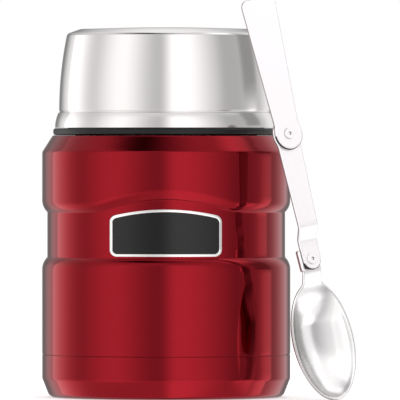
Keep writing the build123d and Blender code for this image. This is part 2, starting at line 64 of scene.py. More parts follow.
# A path of straight runs and corner arcs, from corners of (x, z, radius). Each arc touches both of its
# runs: its ends lie radius * tan(turn / 2) from the corner. Long runs are cut to at most one step.
def roundedPath(corners, closed=False, step=2.0, arcStep=7.0):
    points = np.array([c[:2] for c in corners], float)
    radii = np.array([c[2] if len(c) > 2 else 0.0 for c in corners], float)
    count = len(points)
    runs = []
    for i in range(count):
        here, radius = points[i], radii[i]
        if radius <= 0 or (not closed and i in (0, count - 1)):
            runs.append(here[None])
            continue
        back, ahead = points[i - 1] - here, points[(i + 1) % count] - here
        back, ahead = back / np.linalg.norm(back), ahead / np.linalg.norm(ahead)
        opening = math.acos(np.clip(back @ ahead, -1, 1))
        turn = math.pi - opening
        middle = back + ahead
        centre = here + middle / np.linalg.norm(middle) * radius / math.sin(opening / 2)
        start = here + back * radius * math.tan(turn / 2) - centre
        sign = np.sign(back[0] * ahead[1] - back[1] * ahead[0])
        steps = max(3, int(math.degrees(turn) / arcStep) + 2)
        swing = -sign * np.linspace(0, turn, steps)
        x = start[0] * np.cos(swing) - start[1] * np.sin(swing)
        z = start[0] * np.sin(swing) + start[1] * np.cos(swing)
        runs.append(centre + np.stack([x, z], 1))
    path = np.concatenate(runs)
    if closed:
        path = np.concatenate([path, path[:1]])
    pieces = []
    for a, b in zip(path[:-1], path[1:]):
        parts = max(1, int(np.linalg.norm(b - a) / step))
        pieces.append(a + (b - a) * np.linspace(0, 1, parts, endpoint=False)[:, None])
    if not closed:
        pieces.append(path[-1:])
    return np.concatenate(pieces)


# The same corners moved to the left by a distance: each corner slides along its mitre, and an arc that
# bends to the left loses the distance from its radius where one that bends right gains it.
def besideCorners(corners, distance):
    points = np.array([c[:2] for c in corners], float)
    radii = np.array([c[2] if len(c) > 2 else 0.0 for c in corners], float)
    ahead = np.diff(points, axis=0)
    ahead = np.concatenate([ahead, ahead[-1:]])
    ahead /= np.linalg.norm(ahead, axis=1)[:, None]
    behind = np.concatenate([ahead[:1], ahead[:-1]])
    leftA = np.stack([-ahead[:, 1], ahead[:, 0]], 1)
    leftB = np.stack([-behind[:, 1], behind[:, 0]], 1)
    mitre = (leftA + leftB) / (1 + (leftA * leftB).sum(1))[:, None]
    turn = behind[:, 0] * ahead[:, 1] - behind[:, 1] * ahead[:, 0]
    radii = np.where(radii > 0, np.maximum(radii - np.sign(turn) * distance, 0.02), 0)
    moved = points + mitre * distance
    return [(x, z, r) for (x, z), r in zip(moved, radii)]


# Closed section of a sheet: a path, and the same path moved left by the sheet's thickness, backwards.
def sheetSection(corners, thickness, **steps):
    inner = roundedPath(besideCorners(corners, thickness), **steps)
    return np.concatenate([roundedPath(corners, **steps), inner[::-1]])


# A mesh from a grid of points (rows, columns, 3). Columns close on themselves. Rows close too where
# asked, and otherwise end in points or seams that are merged. A shape with a negative volume is turned.
# Each band is a further material, the rows of faces that take it, and the columns where not all do.
def gridPiece(name, points, rowsClose, material, body, slot, replaces=(), bands=()):
    rows, columns, _ = points.shape
    index = np.arange(rows * columns).reshape(rows, columns)
    nextRow = np.roll(index, -1, 0) if rowsClose else index[1:]
    thisRow = index if rowsClose else index[:-1]
    quads = np.stack([thisRow, np.roll(thisRow, -1, 1), np.roll(nextRow, -1, 1), nextRow], -1)
    quads = quads.reshape(-1, 4)
    flat = points.reshape(-1, 3)
    a, b, c, d = (flat[quads[:, k]] for k in range(4))
    volume = (np.cross(b, c) * a).sum() + (np.cross(c, d) * a).sum()
    if volume < 0:
        quads = quads[:, ::-1]
    mesh = bpy.data.meshes.new(name)
    mesh.from_pydata(flat * mm, [], quads)
    mesh.materials.append(material)
    finish = np.zeros(len(quads), np.int32)
    row, column = np.arange(len(quads)) // columns, np.arange(len(quads)) % columns
    for place, (bandMaterial, bandRows, *bandColumns) in enumerate(bands, 1):
        mesh.materials.append(bandMaterial)
        finish[np.isin(row, bandRows) & (not bandColumns or np.isin(column, bandColumns))] = place
    mesh.polygons.foreach_set("material_index", finish)
    work = bmesh.new()
    work.from_mesh(mesh)
    bmesh.ops.remove_doubles(work, verts=work.verts, dist=2e-7)
    bmesh.ops.dissolve_degenerate(work, edges=work.edges, dist=1e-8)
    work.to_mesh(mesh)
    work.free()
    mesh.shade_smooth()
    mesh.set_sharp_from_angle(angle=sharpFrom)
    piece = bpy.data.objects.new(name, mesh)
    bpy.context.scene.collection.objects.link(piece)
    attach(piece, body)
    if replaces:
        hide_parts(*replaces)
    return piece


# A section of (radius, height) carried round the jar's axis. Where bend is given, it moves the whole
# arrays of radius and height as a function of the angle, which is 0 towards the badge.
def turnedPoints(section, around, bend=None):
    angle = np.linspace(0, 2 * np.pi, around, endpoint=False)[None]
    radius = np.repeat(section[:, :1], around, 1)
    height = np.repeat(section[:, 1:2], around, 1)
    if bend:
        radius, height = bend(radius, height, angle)
    return np.stack([radius * np.sin(angle), -radius * np.cos(angle), height + 0 * angle], -1)


# A helical ridge on a cylinder: a flat-topped bump that climbs by one pitch a turn from its low end. Its
# height and width fade over the last part of a turn at both ends. A negative height points inwards.
def makeThread(name, body, slot, material, radius, plan):
    turns, height = plan["turns"], plan["height"]
    flat, root, sink, bury, lastWidth, fadesPerTurn = 0.28, 0.5, 0.25, 0.05, 0.4, 9
    along = np.linspace(0, 1, int(96 * turns))[:, None]
    across = np.array([-root, -flat, flat, root, root, -root])[None] * plan["width"]
    out = np.array([0, 1, 1, 0, -sink, -sink])[None]
    ramp = np.clip(np.minimum(along, 1 - along) * turns * fadesPerTurn, 0.02, 1)
    fade = smooth(ramp)
    angle = plan["start"] + 2 * np.pi * turns * along
    r = radius + height * np.where(out > 0, out * fade, out) - np.sign(height) * bury
    z = plan["low"] + plan["pitch"] * turns * along + across * (lastWidth + (1 - lastWidth) * fade)
    rows = np.stack([r * np.sin(angle), -r * np.cos(angle), z + 0 * angle], -1)
    ends = [np.repeat(rows[k].mean(0)[None, None], rows.shape[1], 1) for k in (0, -1)]
    points = np.concatenate([ends[0], rows, ends[1]])
    gridPiece(name, points, False, material, body, slot)


def fromHex(code):  # sRGB hex to linear
    value = np.array([int(code[i : i + 2], 16) / 255 for i in (1, 3, 5)])
    linear = np.where(value <= 0.04045, value / 12.92, ((value + 0.055) / 1.055) ** 2.4)
    return (*linear, 1.0)


# Adds a node with its settings and its inputs, each of which is a value or a socket to link.
def addNode(tree, kind, inputs=None, **settings):
    made = tree.nodes.new(kind)
    for key, value in settings.items():
        setattr(made, key, value)
    for key, value in (inputs or {}).items():
        if isinstance(value, bpy.types.NodeSocket):
            tree.links.new(value, made.inputs[key])
        else:
            made.inputs[key].default_value = value
    return made


# A material with values set on its shader, and its tree and shader to add to.
def newMaterial(name, **values):
    material = bpy.data.materials.new(name)
    material.use_nodes = True
    tree = material.node_tree
    shader = tree.nodes["Principled BSDF"]
    for key, value in values.items():
        shader.inputs[key].default_value = value
    return material, tree, shader


# Fine grain: noise at a size in millimetres, stretched along any axis, as a bump of a real depth.
def grainOf(tree, size, depth, stretch=(1, 1, 1), detail=2.0):
    place = addNode(tree, "ShaderNodeTexCoord").outputs["Object"]
    scaled = addNode(tree, "ShaderNodeMapping", {"Vector": place, "Scale": [1 / s for s in stretch]})
    values = {"Scale": 1 / (size * mm), "Detail": detail, "Roughness": 0.55}
    noise = addNode(tree, "ShaderNodeTexNoise", {"Vector": scaled.outputs["Vector"], **values})
    height = noise.outputs["Fac"]
    bump = addNode(tree, "ShaderNodeBump", {"Height": height, "Strength": 1.0, "Distance": depth * mm})
    return height, bump.outputs["Normal"]


mostNoise = {"From Min": 0.3, "From Max": 0.7}  # where most of the noise's values lie


# The shader's roughness wanders between two limits as the grain does.
def roughen(tree, shader, grain, low, high):
    limits = {**mostNoise, "To Min": low, "To Max": high}
    ranged = addNode(tree, "ShaderNodeMapRange", {"Value": grain, **limits})
    tree.links.new(ranged.outputs["Result"], shader.inputs["Roughness"])


enamel = {
    "colour": "#8E0B1A",
    "roughness": (0.05, 0.09),
    "flake": 0.08,  # how much the flake lightens and darkens the red
    "flakeSize": 0.35,
    "peelSize": 4.0,  # ripples of the sprayed coat
    "peelDepth": 0.0006,
    "coat": 0.18,
    "coatRoughness": 0.03,
}


# Transparent red lacquer over bright steel: deep red that follows the lights, with a clear gloss above
# it and a faint flake within.
def makeEnamel():
    material, tree, shader = newMaterial(
        "redLacquerOverSteel",
        **{"Metallic": 1.0, "Coat Weight": enamel["coat"], "Coat Roughness": enamel["coatRoughness"]},
    )
    flake, _ = grainOf(tree, enamel["flakeSize"], 0.0)
    _, peel = grainOf(tree, enamel["peelSize"], enamel["peelDepth"], detail=1.0)
    limits = {**mostNoise, "To Min": 1 - enamel["flake"], "To Max": 1 + enamel["flake"]}
    glint = addNode(tree, "ShaderNodeMapRange", {"Value": flake, **limits}).outputs["Result"]
    red = {"Color": fromHex(enamel["colour"]), "Value": glint}
    tint = addNode(tree, "ShaderNodeHueSaturation", red)
    tree.links.new(tint.outputs["Color"], shader.inputs["Base Color"])
    roughen(tree, shader, flake, *enamel["roughness"])
    tree.links.new(peel, shader.inputs["Coat Normal"])
    return material


# Stainless steel: the colour of bare metal, with turning marks of a given size and stretch.
def makeSteel(name, code, low, high, size, depth, stretch):
    material, tree, shader = newMaterial(name, **{"Base Color": fromHex(code), "Metallic": 1.0})
    mark, bump = grainOf(tree, size, depth, stretch)
    roughen(tree, shader, mark, low, high)
    tree.links.new(bump, shader.inputs["Normal"])
    return material


# Moulded plastic or rubber: one colour, with the fine matt grain of its mould.
def makeMoulded(name, code, low, high, size, depth, ior=1.49, **more):
    material, tree, shader = newMaterial(name, **{"Base Color": fromHex(code), "IOR": ior, **more})
    grain, bump = grainOf(tree, size, depth)
    roughen(tree, shader, grain, low, high)
    tree.links.new(bump, shader.inputs["Normal"])
    return material


redLacquer = makeEnamel()
# 304 stainless, turned and finely brushed round the cup: soft upright bands of light.
turnedSteel = makeSteel("turnedStainlessSteel", "#E8E5E4", 0.1, 0.15, 0.5, 0.0006, (14, 14, 0.5))
# 304 stainless, spun and blasted: the cup's top, a grey satin that stands out against white.
spunSteel = makeSteel("spunStainlessSteel", "#C4C1C0", 0.42, 0.48, 0.6, 0.0004, (1, 1, 1))
# 304 stainless, tumbled: a bright satin that blurs what it reflects.
satinSteel = makeSteel("satinStainlessSteel", "#D6D2D4", 0.42, 0.48, 0.6, 0.0004, (1, 1, 1))
# 304 stainless, buffed: bright, with soft bands of light in the bowl.
polishedSteel = makeSteel("polishedStainlessSteel", "#C2C0C0", 0.22, 0.27, 2.5, 0.0004, (1, 1, 1))
# Sheared edge of the spoon's sheet: greyer than its faces, as painted shade along the edges.
edgeShadeSteel = makeSteel("stainlessEdgeInPaintedShade", "#A09999", 0.3, 0.4, 0.3, 0.001, (1, 1, 1))
# The same steel made dark: painted shade in the gaps under the strips' round ends, in the rivets' dimples
# and under their heads.
paintedShadeSteel = makeSteel("stainlessInPaintedShade", "#3B3737", 0.3, 0.4, 0.3, 0.001, (1, 1, 1))
# 304 stainless, electropolished: bright, with the faint grain of the drawn sheet.
vesselSteel = makeSteel("electropolishedStainlessSteel", "#DEDDDB", 0.36, 0.42, 1.6, 0.0004, (3, 3, 1))
# Black polypropylene, moulded: satin black with a fine texture.
dullGloss = {"Specular IOR Level": 0.35}
blackMoulding = makeMoulded("blackPolypropylene", "#0C0C0C", 0.36, 0.46, 0.5, 0.003, **dullGloss)
# Grey silicone rubber, moulded: an even, soft sheen.
greySilicone = makeMoulded("greySilicone", "#B9B8B3", 0.4, 0.5, 0.8, 0.002, 1.41)
# Black enamel under clear lacquer: even gloss black.
glossBlack = makeMoulded("blackEnamelledAluminium", "#060706", 0.12, 0.18, 0.8, 0.0008, 1.42)
# Aluminium, stamped and bright cut: the pale raised edge of the badge.
brightEdge = makeSteel("brightCutAluminium", "#F4F3F1", 0.22, 0.3, 0.6, 0.0008, (1, 1, 1))
print("stage: materials made")

shell = {
    "bandRadius": 47.0,
    "waistRadius": 45.03,
    "sheet": 0.6,
    "skirtRadius": 46.3,  # necked in to go inside the base cup
    "skirtLow": 9.2,
    "seam": 16.1,
    "edgeRadius": 6.36,
    "crease": 0.5,  # the press leaves the band's edge a little round at the waist
    "lowerBandTop": 48.3,
    "upperBandBottom": 74.5,
    "shoulder": 92.7,
    "shoulderRound": 2.0,
    "ledge": 99.0,
    "ledgeRadius": 43.0,
    "ledgeRound": 1.0,
    "weldGap": 0.05,
    "neckRadius": 34.4,
    "neckTuck": 1.2,  # how far the collar reaches down past the ledge
    "lip": 112.0,
    "lipRoom": 0.55,
    "archRise": 4.78,
    "archRadius": 62.0,
    "archBlend": 1.1,
    "archReach": (26.0, 34.0),  # across the front, where the arch starts and ends its run-out
    "archHeights": (56.0, 68.0, 76.0, 90.0),  # where the arch starts to lift, lifts fully and ends
    "thread": {"low": 103.2, "pitch": 3.4, "turns": 1.6, "height": 0.6, "width": 2.0, "start": 0.0},
}


# Lift of the waist's upper edge across the front: a parabola's crown, whose radius of curvature is
# archRadius, run out by a soft corner and a fade.
def archLift(across):
    height = shell["archRise"] - across**2 / (2 * shell["archRadius"])
    crown = (height + np.hypot(height, shell["archBlend"])) / 2
    near, far = shell["archReach"]
    fade = np.clip((far - np.abs(across)) / (far - near), 0, 1)
    return crown * smooth(fade)


# Heights between the waist's middle and the shoulder stretch so that the upper edge follows the arch.
def archBend(radius, height, angle):
    pastArch = shell["archReach"][1] + 1
    across = np.where(np.cos(angle) > 0, shell["waistRadius"] * np.sin(angle), pastArch)
    share = np.interp(height, shell["archHeights"], [0, 1, 1, 0])
    return radius + 0 * angle, height + share * archLift(across)


# The rounded edges of the two bands, upwards: two arcs that meet the waist.
def bandCorners():
    band, waist, edge = shell["bandRadius"], shell["waistRadius"], shell["edgeRadius"]
    centre = band - edge
    drop = math.sqrt(edge**2 - (waist - centre) ** 2)
    swing = np.linspace(0, math.asin(drop / edge), 9)
    r, rise = centre + edge * np.cos(swing), edge * np.sin(swing)
    low = [(a, shell["lowerBandTop"] + b, 0) for a, b in zip(r, rise)]
    high = [(a, shell["upperBandBottom"] - b, 0) for a, b in zip(r[::-1], rise[::-1])]
    low[-1] = (*low[-1][:2], shell["crease"])
    high[0] = (*high[0][:2], shell["crease"])
    return low + high


# The shell is a sheet's section turned about the axis, with its waist bent up at the arch. The collar
# is a plain tube, and its thread climbs round it.
def makeShell():
    s = shell
    corners = [
        (s["skirtRadius"], s["skirtLow"], 0),
        (s["skirtRadius"], s["seam"], 0.1),
        (s["bandRadius"], s["seam"], 0.22),
        *bandCorners(),
        (s["bandRadius"], s["shoulder"], s["shoulderRound"]),
        (s["ledgeRadius"], s["ledge"], s["ledgeRound"]),
        (s["neckRadius"] + s["weldGap"], s["ledge"], 0),
    ]
    section = sheetSection(corners, s["sheet"], step=1.5)
    points = turnedPoints(section, 384, archBend)
    gridPiece("outerShell", points, True, redLacquer, "jar", "red_enamel", ["outer_wall"])
    low, top, inside = s["ledge"] - s["neckTuck"], s["lip"] - s["lipRoom"], s["neckRadius"] - s["sheet"]
    neck = [(s["neckRadius"], low, 0), (s["neckRadius"], top, 0.1), (inside, top, 0.1), (inside, low, 0)]
    points = turnedPoints(roundedPath(neck, closed=True), 256)
    gridPiece("neckCollar", points, True, vesselSteel, "jar", "vessel_steel", ["outer_neck"])
    makeThread("neckThread", "jar", "vessel_steel", vesselSteel, s["neckRadius"], s["thread"])


base = {
    "height": 15.9,
    "recess": 2.2,
    "recessEdge": 36.6,
    "recessRound": 0.8,
    "ringInner": 38.2,
    "ringRound": 1.2,
    "corner": 44.2,
    "cornerRound": 2.5,
    "flare": 7.0,
    "flareRound": 3.0,
}


# A drawn cup's section, turned: a raised middle, the round ring that it stands on, and a flared wall.
def makeBase():
    b = base
    corners = [
        (0, b["recess"], 0),
        (b["recessEdge"], b["recess"], b["recessRound"]),
        (b["ringInner"], 0, b["ringRound"]),
        (b["corner"], 0, b["cornerRound"]),
        (shell["bandRadius"], b["flare"], b["flareRound"]),
        (shell["bandRadius"], b["height"], 0),
    ]
    points = turnedPoints(sheetSection(corners, shell["sheet"], step=2.0), 320)
    gridPiece("baseCup", points, False, redLacquer, "jar", "red_enamel", ["base_cup"])


vessel = {
    "sheet": 0.5,
    "floor": 14.4,
    "bore": 41.0,
    "floorRound": 8.0,
    "shoulder": 88.8,
    "shoulderRound": 4.0,
    "mouthStart": 96.8,
    "mouth": 33.0,
    "lipRound": 1.0,
}


# The liner's section, turned: floor, bore and shoulder in to the mouth and out over the lip, and the
# same corners moved out by the sheet's thickness for its other face.
def makeVessel():
    v = vessel
    corners = [
        (0, v["floor"], 0),
        (v["bore"], v["floor"], v["floorRound"]),
        (v["bore"], v["shoulder"], v["shoulderRound"]),
        (v["mouth"], v["mouthStart"], v["shoulderRound"]),
        (v["mouth"], shell["lip"], v["lipRound"]),
        (shell["neckRadius"], shell["lip"], 0),
    ]
    outer = besideCorners(corners, -v["sheet"])
    points = turnedPoints(np.concatenate([roundedPath(corners), roundedPath(outer)[::-1]]), 256)
    nodes = ["inner_wall", "inner_bottom"]
    gridPiece("vesselLiner", points, False, vesselSteel, "jar", "vessel_steel", nodes)


makeShell()
makeBase()
makeVessel()
print("stage: jar made")

badge = {
    "width": 42.0,
    "low": 53.5,
    "height": 17.8,
    "crown": 2.6,
    "corner": 2.6,
    "border": 1.1,
    "back": 45.31,  # radii of the badge's back, its dark field and its border's face
    "field": 45.86,
    "face": 46.16,
    "fieldGap": 0.04,
}


# Outline in front view: straight sides and foot, a low parabola on top, all corners round.
def badgeOutline(margin):
    count = 360
    half = badge["width"] / 2 - margin
    low, high = badge["low"] + margin, badge["low"] + badge["height"] - margin
    x = np.linspace(half, -half, 25)
    top = high - badge["crown"] * (x / half) ** 2
    radius = max(badge["corner"] - margin * 0.8, 0.3)
    corners = [(-half, low, radius), (half, low, radius), (half, top[0], radius)]
    corners += [(a, b, 0) for a, b in zip(x[2:-2], top[2:-2])] + [(-half, top[-1], radius)]
    path = roundedPath(corners, closed=True, step=0.5)
    return evenly(np.concatenate([path, path[:1]]), count + 1)[:-1]


# Front-view points laid on an upright cylinder of a given radius.
def onCylinder(flat, radius):
    return np.stack([flat[:, 0], -np.sqrt(radius**2 - flat[:, 0] ** 2), flat[:, 1]], 1)


# The border is a closed ring of the same outline at eight margins, each at its own radius. The field is
# one outline drawn in to its middle, at the radius of its face and at that of its back.
def makeBadge():
    border, back, field, face = (badge[key] for key in ("border", "back", "field", "face"))
    turnIn, turnDown = 0.25, 0.08  # the border's edges round over in two steps
    edges = [
        (0.0, back),
        (0.0, field),
        (0.1, face - turnDown),
        (turnIn, face),
        (border - turnIn, face),
        (border - 0.1, face - turnDown),
        (border, field - 0.1),
        (border, back),
    ]
    rings = np.stack([onCylinder(badgeOutline(m), r) for m, r in edges])
    gridPiece("badgeBorder", rings, True, brightEdge, "jar", "badge_border", ["badge_rim"])
    outline = badgeOutline(border + badge["fieldGap"])
    middle = np.array([0, badge["low"] + badge["height"] / 2])
    shares = np.linspace(0, 1, 16)[:, None, None]
    flats = middle + (outline[None] - middle) * shares
    levels = [onCylinder(f, field) for f in flats] + [onCylinder(f, back) for f in flats[::-1]]
    gridPiece("badgeField", np.stack(levels), False, glossBlack, "jar", "badge_field", ["badge_inlay"])


makeBadge()
print("stage: badge made")

stopper = {
    "flangeLow": 99.1,
    "flangeTop": 101.7,
    "flange": 42.8,
    "skirt": 37.0,
    "skirtBore": 35.8,
    "flangeRound": 0.9,
    "deck": 112.05,
    "top": 122.05,
    "rim": 35.5,
    "rimInner": 34.0,
    "rimRound": 1.0,
    "step": (2.0, 3.5, 0.6),  # the cone between skirt and rim: its ends above the deck, and its rounds
    "trayFloor": 115.05,
    "trayHalf": 17.0,
    "trayRound": 15.0,
    "trayFoot": 1.2,  # round between the tray's floor and wall
    "trayBrow": 0.8,  # round at the tray's mouth
    "plug": 32.4,
    "plugShoulder": 100.6,
    "groove": 30.95,
    "under": 97.3,
    "underThick": 1.8,
    "underRound": 0.8,
    "thread": {"low": 104.2, "pitch": 3.6, "turns": 1.5, "height": 0.6, "width": 2.2, "start": 0.0},
    "skirtThread": {
        "low": 102.6,
        "pitch": 3.4,
        "turns": 1.5,
        "height": -0.6,
        "width": 2.0,
        "start": 2.2,
    },
}
gasket = {"inner": 31.0, "body": 32.45, "lip": 32.9, "low": 97.3, "high": 100.55, "lips": (97.9, 99.7)}


# Distance from the axis to the tray's wall: a flat side, or the round end met by the same ray.
def trayReach(angle):
    side, ahead = np.abs(np.cos(angle)), np.abs(np.sin(angle))
    flat = stopper["trayRound"] / np.maximum(side, 1e-6)
    end = stopper["trayHalf"] * ahead + np.sqrt(
        np.maximum(stopper["trayRound"] ** 2 - (stopper["trayHalf"] * side) ** 2, 0)
    )
    return np.where(flat * ahead <= stopper["trayHalf"], flat, end)


# The moulding's outside is a turned section. The tray in its top has rings of (share of the tray's
# reach, distance added to it, height), and rings between the two blend from one outline to the other.
def makeStopper():
    s = stopper
    floor = [(share, 0.0, s["trayFloor"]) for share in np.linspace(0, 0.93, 12)]
    swing = np.linspace(0, np.pi / 2, 6)
    f, b = s["trayFoot"], s["trayBrow"]
    foot = [(1, -f + f * math.sin(a), s["trayFloor"] + f * (1 - math.cos(a))) for a in swing]
    brow = [(1, b * (1 - math.cos(a)), s["top"] - b * (1 - math.sin(a))) for a in swing]
    tray = np.array(floor + foot + brow)
    stepLow, stepHigh, stepRound = s["step"]
    corners = [
        (s["rimInner"], s["top"], 0),
        (s["rim"], s["top"], s["rimRound"]),
        (s["rim"], s["deck"] + stepHigh, stepRound),
        (s["skirt"], s["deck"] + stepLow, stepRound),
        (s["skirt"], s["flangeTop"], 0.5),
        (s["flange"], s["flangeTop"], s["flangeRound"]),
        (s["flange"], s["flangeLow"], s["flangeRound"]),
        (s["skirtBore"], s["flangeLow"], 0.4),
        (s["skirtBore"], s["deck"], 0.3),
        (s["plug"], s["deck"], 0.3),
        (s["plug"], s["plugShoulder"], 0.2),
        (s["groove"], s["plugShoulder"], 0.1),
        (s["groove"], s["under"], 0),
        (0, s["under"], 0),
    ]
    outside = roundedPath(corners, step=1.5)
    spans = np.linspace(0, 1, 6)[1:-1]
    section = np.zeros((len(tray) + len(spans) + len(outside), 2))
    section[-len(outside) :] = outside

    # Each of the tray's rings is its share of the reach, and the spans run straight from there to the rim.
    def trayBend(radius, height, angle):
        reach = trayReach(angle)
        radius, height = radius + 0 * angle, height + 0 * angle
        inner = len(tray)
        radius[:inner] = np.maximum(tray[:, :1] * reach + tray[:, 1:2], 0)
        height[:inner] = tray[:, 2:]
        edge = radius[inner - 1][None]
        radius[inner : inner + len(spans)] = edge + (outside[0, 0] - edge) * spans[:, None]
        height[inner : inner + len(spans)] = s["top"]
        return radius, height

    points = turnedPoints(section, 360, trayBend)
    black = (blackMoulding, "stopper", "black_moulding")
    gridPiece("stopperMoulding", points, False, *black, ["stopper_body"])
    low, high = s["under"] - s["underThick"], s["under"] - 0.05
    corners = [(0, low, 0), (s["plug"], low, s["underRound"]), (s["plug"], high, 0), (0, high, 0)]
    points = turnedPoints(roundedPath(corners), 192)
    gridPiece("stopperUnderside", points, False, *black, ["stopper_base"])


# A ring with two lips, each a low ridge with a narrow flat.
def makeGasket():
    g = gasket
    lower, upper = g["lips"]
    edge, crest, flat = 0.1, 0.12, 0.2
    corners = [
        (g["inner"], g["low"], 0),
        (g["body"], g["low"], edge),
        (g["lip"], lower, crest),
        (g["lip"], lower + flat, crest),
        (g["body"], lower + 0.7, edge),
        (g["body"], upper - 0.55, edge),
        (g["lip"], upper, crest),
        (g["lip"], upper + flat, crest),
        (g["body"], g["high"], edge),
        (g["inner"], g["high"], 0),
    ]
    points = turnedPoints(roundedPath(corners, closed=True, step=1.0), 256)
    gridPiece("stopperGasket", points, True, greySilicone, "stopper", "silicone", ["stopper_gasket"])


# One thread outside the skirt for the cup, and one inside it for the jar's neck.
def makeStopperThreads():
    s = stopper
    black = ("stopper", "black_moulding", blackMoulding)
    makeThread("stopperThread", *black, s["skirt"], s["thread"])
    makeThread("skirtThread", *black, s["skirtBore"], s["skirtThread"])


makeStopper()
makeGasket()
makeStopperThreads()
print("stage: stopper made")

cup = {
    "rimZ": 101.9,
    "bead": 42.1,
    "beadTop": 107.4,
    "neck": 40.95,
    "groove": 0.35,  # depth of the line pressed in above the bead
    "wall": 40.55,
    "wallStart": 108.4,
    "taper": 140.0,
    "bevelStart": 136.8,
    "bevelWidth": 5.0,
    "brow": (0.55, 0.8),  # the wall's first steep turn into the bevel: how far in and how far up
    "top": 139.7,
    "crown": 0.5,
    "topRounds": (0.7, 0.9, 1.5, 150.0),  # at the wall's end, the brow, the bevel's end and the crown
    "satinInset": 0.8,  # how far inside the bevel the top's satin starts
    "sheet": 0.5,
    "bore": 38.4,
    "linerRadius": 39.55,  # the black liner's outside below the cup's step
    "linerGap": 0.6,  # and further up, how far it stands inside the steel
    "linerTop": 1.1,  # its two faces below the cup's top
    "linerFloor": 2.65,
    "linerStep": 115.05,
    "linerBrow": (0.9, 0.3, 1.0),  # its outer corners: in from the steel's, down from it, and their round
    "linerEdge": (0.3, 0.1, 1.0),
    "linerBrowInside": (2.5, 1.1, 2.0),
    "linerEdgeInside": (1.1, 0.0, 1.0),
    "thread": {"low": 103.0, "pitch": 3.6, "turns": 1.4, "height": -0.6, "width": 2.2, "start": 3.0},
}


# Radius of the cup's wall: it leans in along a shallow parabola.
def cupWall(height):
    return cup["wall"] - (height - cup["wallStart"]) ** 2 / (2 * cup["taper"])


# The steel is a sheet's section, turned: a bead that curves in as a parabola, a pressed line, the wall,
# and a bevel up to a low crown. The black liner's section runs inside it, with a thread in its bore.
def makeCup():
    c = cup
    beadRise = np.linspace(0, 1, 10)
    depth = c["bead"] - c["neck"]
    bead = [(c["bead"] - depth * t * t, c["rimZ"] + (c["beadTop"] - c["rimZ"]) * t, 0) for t in beadRise]
    groove = [(c["wall"] - c["groove"], c["beadTop"] + 0.5, 0.3), (c["wall"], c["wallStart"], 0.3)]
    browIn, browUp = c["brow"]
    wallRound, browRound, bevelRound, crownRound = c["topRounds"]
    heights = np.linspace(c["wallStart"] + 1, c["bevelStart"] - browUp, 16)
    wall = [(cupWall(h), h, 0) for h in heights]
    end = cupWall(c["bevelStart"])
    edge = end - c["bevelWidth"]
    top = [
        (end, c["bevelStart"], wallRound),
        (end - browIn, c["bevelStart"] + browUp, browRound),
        (edge, c["top"] - c["crown"], bevelRound),
        (edge / 2, c["top"], crownRound),
        (0, c["top"], 0),
    ]
    section = sheetSection(bead + groove + wall + top, c["sheet"], step=1.5)
    radius, height = section[:-1].T
    onTop = (radius < edge - c["satinInset"]) & (height > c["top"] - c["crown"] - 0.1)
    points, bands = turnedPoints(section, 320), [(spunSteel, np.flatnonzero(onTop))]
    gridPiece("cupSteel", points, False, turnedSteel, "cup", "cup_steel", ["cup_shell"], bands=bands)
    half = 122.0  # about half way up the wall
    linerTop, linerFloor = c["top"] - c["linerTop"], c["top"] - c["linerFloor"]

    def corner(x, z, key):  # in and down from the steel's corner
        inwards, down, bend = c[key]
        return x - inwards, z - down, bend

    outside = [
        (c["bore"], c["rimZ"], 0.3),
        (c["linerRadius"], c["rimZ"], 0.3),
        (c["linerRadius"], c["wallStart"], 0),
        (cupWall(half) - c["linerGap"], half, 0),
        corner(end, c["bevelStart"], "linerBrow"),
        corner(edge, linerTop, "linerEdge"),
        (0, linerTop, 0),
    ]
    inside = [
        (0, linerFloor, 0),
        corner(edge, linerFloor, "linerEdgeInside"),
        corner(end, c["bevelStart"], "linerBrowInside"),
        (c["bore"], c["linerStep"], 3.0),
        (c["bore"], c["rimZ"], 0.3),
    ]
    points = turnedPoints(np.concatenate([roundedPath(inside), roundedPath(outside)[1:]]), 256)
    gridPiece("cupLiner", points, False, blackMoulding, "cup", "black_moulding", ["cup_liner"])
    makeThread("linerThread", "cup", "black_moulding", blackMoulding, c["bore"], c["thread"])


makeCup()
print("stage: cup made")

spoon = {
    "upperRivet": (46.153, -41.996, 99.649),
    "yaw": 32.0,  # degrees about the upright, then back, then in its own plane
    "tilt": 10.0,
    "roll": 9.2,
    "strip": 1.2,
    "layer": 0.05,  # room between the sections
    "handleLength": 52.0,
    "handleWidth": 15.4,
    "handleCorner": 3.0,
    "rootWidth": 10.4,
    "handleJoint": 6.1,
    "linkLength": 47.4,
    "linkUpper": 6.2,
    "linkLower": 4.1,
    "blend": 8.0,
    "joggle": 2.9,
    "joggleStart": 12.0,
    "joggleRun": 4.4,
    "neckJoint": 4.1,
    "neckWidth": 8.4,
    "neckLength": 8.0,
    "neckDrop": 3.0,
    "neckBend": 4.5,
    "neckRun": 5.5,
    "neckSoft": 1.6,  # of the bends at both ends of that run
    "neckRoot": 5.0,  # how far the neck's strip reaches into the bowl's outline
    "neckHollow": 0.8,  # of the corner between the neck and the bowl
    "bowlLength": 45.5,
    "bowlWidth": 27.0,
    "bowlDepth": 7.0,
    "bowlWall": 1.1,
    "bowlMiddle": 0.5,  # how far the middle of its wall lies behind the rim's face
    "bowlRim": 0.4,  # flat rim round the dish
    "overshoot": 2.5,  # how far the dish's ellipsoid stands above its rim, which steepens the sides
    "heelRamp": 16.5,  # length over which the dish rises to the neck
    "tabLength": 8.0,
    "tabRoot": 1.5,  # how far it reaches into the neck
    "tabCorner": 0.75,
    "tabBend": 1.0,
    "tabGap": 0.35,
    "tabProud": 0.4,
    "rivetHead": 2.1,
    "rivetHeight": 0.6,
    "rivetRound": 0.3,
    "rivetShank": 1.3,
    "dimple": (0.5, 0.62, 0.3),  # radius of its floor and of its mouth, and its depth
}
linkFace = -spoon["strip"] - spoon["layer"]
linkLowFace = linkFace - spoon["joggle"]
neckFace = linkLowFace - spoon["strip"] - spoon["layer"]
rimFace = neckFace - spoon["neckDrop"]


